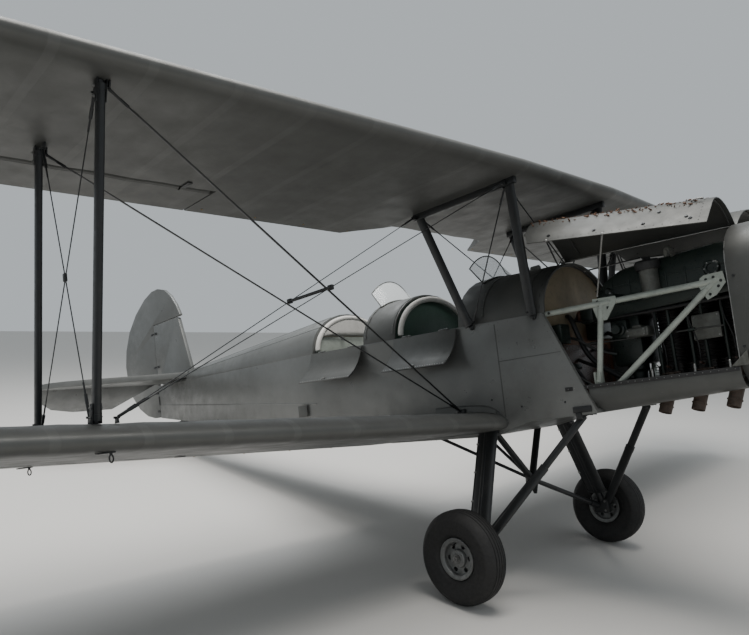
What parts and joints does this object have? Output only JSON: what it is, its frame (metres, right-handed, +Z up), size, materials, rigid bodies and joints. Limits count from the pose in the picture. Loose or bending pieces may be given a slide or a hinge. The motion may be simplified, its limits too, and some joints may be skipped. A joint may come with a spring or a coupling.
{
  "type": "two-seat training biplane",
  "caption": "Two-seat open-cockpit biplane parked on its wheels, with doors open, engine bay uncovered and hinged control surfaces.",
  "frame": {"origin": "middle of the bounding box on the floor that the wheels stand on", "axes": "+X forward along the floor, +Y to port along the span, +Z up; the aircraft stands nose-up on its tail wheel"},
  "size_m": [6.906, 8.38, 2.2648],
  "materials": {
    "silver_dope": "satin silver-grey dope and paint",
    "slate_paint": "dark slate paint",
    "tyre_rubber": "worn black rubber",
    "wheel_alloy": "dull cast alloy",
    "bearer_paint": "pale grey-green paint",
    "engine_metal": "dark oily castings",
    "firewall_sheet": "stained cream sheet",
    "cockpit_green": "dark green paint",
    "seat_leather": "worn brown leather",
    "clear_sheet": "clear sheet",
    "propeller_wood": "varnished laminated wood"
  },
  "bodies": {
    "aileron_lower_left": {"aileron_lower_left": "silver_dope"},
    "aileron_lower_right": {"aileron_lower_right": "silver_dope"},
    "aileron_upper_left": {"aileron_upper_left": "silver_dope"},
    "aileron_upper_right": {"aileron_upper_right": "silver_dope"},
    "airframe": {"cabane_left": "slate_paint", "cabane_right": "slate_paint", "centre_section": "silver_dope", "cockpit_floor": "cockpit_green", "engine": "engine_metal", "engine_bearer_left": "bearer_paint", "engine_bearer_right": "bearer_paint", "fin": "silver_dope", "firewall": "firewall_sheet", "flying_wires_left": "slate_paint", "flying_wires_right": "slate_paint", "front_decking": "silver_dope", "fuselage": "silver_dope", "gear_frame": "slate_paint", "gear_leg_left": "slate_paint", "gear_leg_right": "slate_paint", "landing_wires_left": "slate_paint", "landing_wires_right": "slate_paint", "lower_cowl": "silver_dope", "lower_wing_left": "silver_dope", "lower_wing_right": "silver_dope", "mid_decking": "silver_dope", "nose_cowl": "silver_dope", "rear_decking": "silver_dope", "seat_bulkhead": "cockpit_green", "seat_front": "seat_leather", "seat_rear": "seat_leather", "strut_front_left": "slate_paint", "strut_front_right": "slate_paint", "strut_rear_left": "slate_paint", "strut_rear_right": "slate_paint", "tail_spring": "slate_paint", "tailplane": "silver_dope", "upper_wing_left": "silver_dope", "upper_wing_right": "silver_dope", "windscreen_front": "clear_sheet", "windscreen_rear": "clear_sheet"},
    "cowl_panel_left": {"cowl_panel_left": "silver_dope"},
    "cowl_panel_right": {"cowl_panel_right": "silver_dope"},
    "door_front_left": {"door_front_left": "silver_dope"},
    "door_front_right": {"door_front_right": "silver_dope"},
    "door_rear_left": {"door_rear_left": "silver_dope"},
    "door_rear_right": {"door_rear_right": "silver_dope"},
    "elevator": {"elevator": "silver_dope"},
    "propeller": {"propeller": "propeller_wood"},
    "rudder": {"rudder": "silver_dope"},
    "tail_fork": {"tail_fork": "slate_paint"},
    "tail_wheel": {"tail_wheel": "tyre_rubber"},
    "wheel_left": {"tyre_left": "tyre_rubber", "wheel_hub_left": "wheel_alloy"},
    "wheel_right": {"tyre_right": "tyre_rubber", "wheel_hub_right": "wheel_alloy"}
  },
  "joints": [
    {"name": "wheel_right_spin", "type": "hinge", "parent": "airframe", "child": "wheel_right", "pos_m": [1.96801, -0.7335, 0.23], "axis": [0, 1, 0], "continuous": true},
    {"name": "wheel_left_spin", "type": "hinge", "parent": "airframe", "child": "wheel_left", "pos_m": [1.96801, 0.7335, 0.23], "axis": [0, 1, 0], "continuous": true},
    {"name": "propeller_spin", "type": "hinge", "parent": "airframe", "child": "propeller", "pos_m": [3.31476, 0, 1.72839], "axis": [0.9793, 0, 0.2023], "continuous": true},
    {"name": "tail_wheel_swivel", "type": "hinge", "parent": "airframe", "child": "tail_fork", "pos_m": [-2.60244, 0, 0.2101], "axis": [0, 0, 1], "range_deg": [-60, 60]},
    {"name": "tail_wheel_spin", "type": "hinge", "parent": "tail_fork", "child": "tail_wheel", "pos_m": [-2.64444, 0, 0.09], "axis": [0, 1, 0], "continuous": true},
    {"name": "rudder_swing", "type": "hinge", "parent": "airframe", "child": "rudder", "pos_m": [-2.65428, 0, 0.50062], "axis": [-0.2023, 0, 0.9793], "range_deg": [-30, 30]},
    {"name": "elevator_swing", "type": "hinge", "parent": "airframe", "child": "elevator", "pos_m": [-2.5715, 0, 0.65353], "axis": [0, 1, 0], "range_deg": [0, 52]},
    {"name": "aileron_upper_right_swing", "type": "hinge", "parent": "airframe", "child": "aileron_upper_right", "pos_m": [0.86845, -2.5, 2.00982], "axis": [0.1343, 0.9907, -0.0235], "range_deg": [-22, 22]},
    {"name": "aileron_upper_left_swing", "type": "hinge", "parent": "airframe", "child": "aileron_upper_left", "pos_m": [0.86845, 2.5, 2.00982], "axis": [-0.1343, 0.9907, 0.0235], "range_deg": [-22, 22]},
    {"name": "aileron_lower_right_swing", "type": "hinge", "parent": "airframe", "child": "aileron_lower_right", "pos_m": [0.86327, -2.5, 0.74221], "axis": [0.0829, 0.9954, -0.0486], "range_deg": [-22, 22]},
    {"name": "aileron_lower_left_swing", "type": "hinge", "parent": "airframe", "child": "aileron_lower_left", "pos_m": [0.86327, 2.5, 0.74221], "axis": [-0.0829, 0.9954, 0.0486], "range_deg": [-22, 22]},
    {"name": "door_front_right_hinge", "type": "hinge", "parent": "airframe", "child": "door_front_right", "pos_m": [1.43818, -0.373, 1.3121], "axis": [-0.9855, 0, -0.1699], "range_deg": [0, 177]},
    {"name": "door_front_left_hinge", "type": "hinge", "parent": "airframe", "child": "door_front_left", "pos_m": [1.43818, 0.373, 1.3121], "axis": [0.9855, 0, 0.1699], "range_deg": [0, 177]},
    {"name": "door_rear_right_hinge", "type": "hinge", "parent": "airframe", "child": "door_rear_right", "pos_m": [0.55077, -0.373, 1.15914], "axis": [-0.9855, 0, -0.1699], "range_deg": [0, 177]},
    {"name": "door_rear_left_hinge", "type": "hinge", "parent": "airframe", "child": "door_rear_left", "pos_m": [0.55077, 0.373, 1.15914], "axis": [0.9855, 0, 0.1699], "range_deg": [0, 177]},
    {"name": "cowl_panel_right_hinge", "type": "hinge", "parent": "airframe", "child": "cowl_panel_right", "pos_m": [2.02129, 0, 1.70731], "axis": [0.9884, 0, 0.1517], "range_deg": [0, 48]},
    {"name": "cowl_panel_left_hinge", "type": "hinge", "parent": "airframe", "child": "cowl_panel_left", "pos_m": [2.02129, 0, 1.70731], "axis": [-0.9884, 0, -0.1517], "range_deg": [0, 48]}
  ],
  "couplings": [
    {"joint": "aileron_lower_right_swing", "follows": "aileron_upper_right_swing", "ratio": 1},
    {"joint": "aileron_upper_left_swing", "follows": "aileron_upper_right_swing", "ratio": -1},
    {"joint": "aileron_lower_left_swing", "follows": "aileron_upper_right_swing", "ratio": -1}
  ]
}
